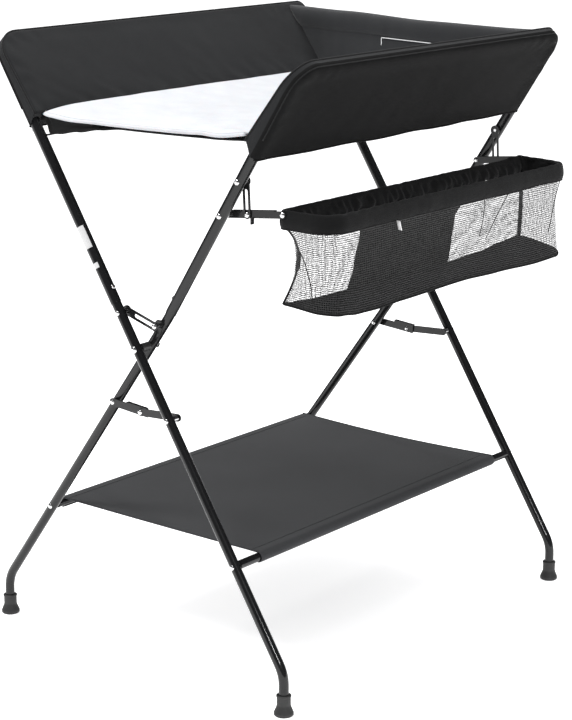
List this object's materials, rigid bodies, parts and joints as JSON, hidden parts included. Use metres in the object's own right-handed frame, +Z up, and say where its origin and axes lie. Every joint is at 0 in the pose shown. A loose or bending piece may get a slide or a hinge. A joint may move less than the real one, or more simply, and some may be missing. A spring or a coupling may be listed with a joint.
{
  "type": "folding changing table",
  "caption": "Folding baby changing table with crossed tube frames, a padded open-ended tray, a fabric shelf and a side-hung mesh basket.",
  "frame": {"origin": "on the floor, at the centre of the table's bounding box", "axes": "+Z up, +Y along the tray towards its closed head end, +X across the folding frames towards the basket"},
  "size_m": [0.703, 0.799, 1.0121],
  "materials": {
    "tube_black": "semi-gloss black powder coat",
    "steel_black": "black painted pressed steel",
    "zinc": "bright zinc plated",
    "rubber_black": "matt",
    "plastic_black": "matt",
    "cloth_black": "woven polyester, black",
    "cloth_white": "soft white plush",
    "foam": "plain foam board",
    "net_black": "fine knitted mesh",
    "label": "blank label"
  },
  "bodies": {
    "outer_frame": {"outer_top_tube": "tube_black", "outer_leg_open": "tube_black", "outer_leg_head": "tube_black", "outer_foot_open": "rubber_black", "outer_foot_head": "rubber_black", "outer_shelf_bar": "tube_black", "outer_bar_plugs": "plastic_black", "outer_shelf_bolts": "zinc", "outer_leg_screws": "zinc", "wall_screws": "zinc", "pivot_bolts": "zinc", "pivot_nuts": "zinc", "pivot_spacers": "plastic_black", "limiter_rivets": "zinc", "brace_outer_rivets": "zinc", "outer_wall_cover": "cloth_black", "bed_sling": "cloth_black", "bed_board": "foam", "changing_mat": "cloth_white", "end_wall": "cloth_black", "shelf_panel": "cloth_black", "blank_sticker": "label"},
    "inner_frame": {"inner_top_tube": "tube_black", "inner_leg_open": "tube_black", "inner_leg_head": "tube_black", "inner_foot_open": "rubber_black", "inner_foot_head": "rubber_black", "inner_shelf_bar": "tube_black", "inner_bar_plugs": "plastic_black", "inner_shelf_bolts": "zinc", "inner_leg_screws": "zinc", "limiter_lugs": "steel_black", "brace_inner_rivets": "zinc", "basket_arm_rivets": "zinc", "basket_link_rivets": "zinc", "inner_wall_cover": "cloth_black"},
    "basket": {"basket_arm_open": "steel_black", "basket_arm_head": "steel_black", "basket_rim": "steel_black", "basket_rim_bolts": "zinc", "basket_band": "cloth_black", "basket_net": "net_black", "basket_floor": "cloth_black", "basket_panel": "cloth_black"},
    "brace_inner_open": {"brace_inner_link_open": "steel_black", "knee_rivet_open": "zinc"},
    "brace_outer_open": {"brace_outer_link_open": "steel_black"},
    "limiter_open": {"limiter_link_open": "steel_black"},
    "limiter_slider_open": {"limiter_bolt_open": "zinc"},
    "basket_stay_open": {"basket_link_open": "steel_black"},
    "basket_stay_slider_open": {"basket_link_bolt_open": "zinc"},
    "brace_inner_head": {"brace_inner_link_head": "steel_black", "knee_rivet_head": "zinc"},
    "brace_outer_head": {"brace_outer_link_head": "steel_black"},
    "limiter_head": {"limiter_link_head": "steel_black"},
    "limiter_slider_head": {"limiter_bolt_head": "zinc"},
    "basket_stay_head": {"basket_link_head": "steel_black"},
    "basket_stay_slider_head": {"basket_link_bolt_head": "zinc"}
  },
  "joints": [
    {"name": "fold", "type": "hinge", "parent": "outer_frame", "child": "inner_frame", "pos_m": [0.0075, 0, 0.535], "axis": [0, -1, 0], "range_deg": [0, 52], "deforming": ["bed_sling", "bed_board", "changing_mat", "end_wall", "shelf_panel"]},
    {"name": "basket_fold", "type": "hinge", "parent": "inner_frame", "child": "basket", "pos_m": [0.15629, 0, 0.76], "axis": [0, -1, 0], "range_deg": [0, 40]},
    {"name": "brace_root_open", "type": "hinge", "parent": "inner_frame", "child": "brace_inner_open", "pos_m": [-0.06904, -0.3606, 0.4305], "axis": [0, -1, 0], "range_deg": [0, 89.31]},
    {"name": "brace_knee_open", "type": "hinge", "parent": "brace_inner_open", "child": "brace_outer_open", "pos_m": [-0.00629, -0.3631, 0.4255], "axis": [0, -1, 0], "range_deg": [-161.71, 0]},
    {"name": "limiter_turn_open", "type": "hinge", "parent": "outer_frame", "child": "limiter_open", "pos_m": [-0.02664, -0.368, 0.589], "axis": [0, -1, 0], "range_deg": [-16.51, 0]},
    {"name": "limiter_slide_open", "type": "slide", "parent": "limiter_open", "child": "limiter_slider_open", "axis": [-0.9593, 0, 0.2824], "range_m": [0, 0.037]},
    {"name": "stay_turn_open", "type": "hinge", "parent": "inner_frame", "child": "basket_stay_open", "pos_m": [0.19198, -0.33655, 0.8156], "axis": [0, -1, 0], "range_deg": [-20.68, 0]},
    {"name": "stay_slide_open", "type": "slide", "parent": "basket_stay_open", "child": "basket_stay_slider_open", "axis": [-0.0502, 0, 0.9987], "range_m": [0, 0.02239]},
    {"name": "brace_root_head", "type": "hinge", "parent": "inner_frame", "child": "brace_inner_head", "pos_m": [-0.06904, 0.3606, 0.4305], "axis": [0, -1, 0], "range_deg": [0, 89.31]},
    {"name": "brace_knee_head", "type": "hinge", "parent": "brace_inner_head", "child": "brace_outer_head", "pos_m": [-0.00629, 0.3631, 0.4255], "axis": [0, -1, 0], "range_deg": [-161.71, 0]},
    {"name": "limiter_turn_head", "type": "hinge", "parent": "outer_frame", "child": "limiter_head", "pos_m": [-0.02664, 0.368, 0.589], "axis": [0, -1, 0], "range_deg": [-16.51, 0]},
    {"name": "limiter_slide_head", "type": "slide", "parent": "limiter_head", "child": "limiter_slider_head", "axis": [-0.9593, 0, 0.2824], "range_m": [0, 0.037]},
    {"name": "stay_turn_head", "type": "hinge", "parent": "inner_frame", "child": "basket_stay_head", "pos_m": [0.19198, 0.33655, 0.8156], "axis": [0, -1, 0], "range_deg": [-20.68, 0]},
    {"name": "stay_slide_head", "type": "slide", "parent": "basket_stay_head", "child": "basket_stay_slider_head", "axis": [-0.0502, 0, 0.9987], "range_m": [0, 0.02239]}
  ],
  "couplings": [
    {"joint": "brace_root_open", "follows": "fold", "ratio": 1.7159},
    {"joint": "brace_knee_open", "follows": "fold", "ratio": -3.1067},
    {"joint": "limiter_turn_open", "follows": "fold", "ratio": -0.31726},
    {"joint": "limiter_slide_open", "follows": "fold", "m_per_rad": 0.040712},
    {"joint": "stay_turn_open", "follows": "basket_fold", "ratio": -0.51648},
    {"joint": "stay_slide_open", "follows": "basket_fold", "m_per_rad": 0.031995},
    {"joint": "brace_root_head", "follows": "fold", "ratio": 1.7159},
    {"joint": "brace_knee_head", "follows": "fold", "ratio": -3.1067},
    {"joint": "limiter_turn_head", "follows": "fold", "ratio": -0.31726},
    {"joint": "limiter_slide_head", "follows": "fold", "m_per_rad": 0.040712},
    {"joint": "stay_turn_head", "follows": "basket_fold", "ratio": -0.51648},
    {"joint": "stay_slide_head", "follows": "basket_fold", "m_per_rad": 0.031995}
  ]
}
